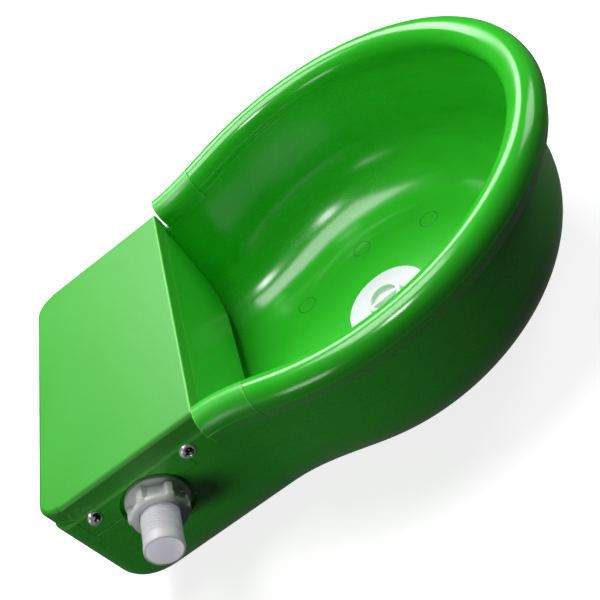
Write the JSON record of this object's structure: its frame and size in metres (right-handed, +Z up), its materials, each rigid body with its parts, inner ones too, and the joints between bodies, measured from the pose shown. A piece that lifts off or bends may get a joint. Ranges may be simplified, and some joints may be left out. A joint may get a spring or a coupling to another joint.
{
  "type": "livestock drinking bowl",
  "caption": "Moulded drinking bowl for livestock: round bowl with a rolled rim, joined to a covered float tank with a threaded side inlet and a drain plug.",
  "frame": {"origin": "middle of the overall box in plan, on the plane that the foot rib stands on", "axes": "+Z up out of the bowl; -Y towards the bowl's nose and +Y towards the tank's flat back; -X towards the water inlet"},
  "size_m": [0.277, 0.3404, 0.1076],
  "materials": {
    "green_plastic": "satin moulded green plastic with a faint sheen",
    "white_plastic": "natural white moulded plastic",
    "plated_steel": "bright zinc-plated steel",
    "brass": "plain turned brass",
    "black_rubber": "matt black rubber",
    "float_plastic": "dull off-white moulded float"
  },
  "bodies": {
    "bowl": {"bowl_shell": "green_plastic", "valve_cover": "green_plastic", "cover_screw_front_left": "plated_steel", "cover_screw_rear_left": "plated_steel", "cover_screw_front_right": "plated_steel", "cover_screw_rear_right": "plated_steel", "valve_body": "white_plastic", "inlet_gasket": "black_rubber", "inlet_lock_nut": "white_plastic", "valve_nozzle": "brass", "nozzle_ring": "black_rubber", "lever_pin": "plated_steel", "pin_clip": "plated_steel", "drain_seat": "white_plastic", "drain_gasket": "black_rubber", "drain_lock_nut": "white_plastic"},
    "float_assembly": {"float_lever": "white_plastic", "level_screw": "brass", "level_lock_nut": "brass", "float_arm": "brass", "lever_arm_nut": "brass", "float_arm_nut": "brass", "float": "float_plastic"},
    "plunger": {"valve_plunger": "white_plastic", "plunger_seal": "black_rubber"},
    "plug": {"drain_plug": "white_plastic", "plug_seal": "black_rubber"}
  },
  "joints": [
    {"name": "float_swing", "type": "hinge", "parent": "bowl", "child": "float_assembly", "pos_m": [-0.0519, 0.11842, 0.0592], "axis": [0, -1, 0], "range_deg": [0, 18]},
    {"name": "plunger_slide", "type": "slide", "parent": "bowl", "child": "plunger", "axis": [-1, 0, 0], "range_m": [0, 0.003]},
    {"name": "drain_plug_lift", "type": "slide", "parent": "bowl", "child": "plug", "axis": [0, 0, 1], "range_m": [0, 0.025]}
  ],
  "couplings": [
    {"joint": "plunger_slide", "follows": "float_swing", "m_per_rad": 0.0095}
  ]
}
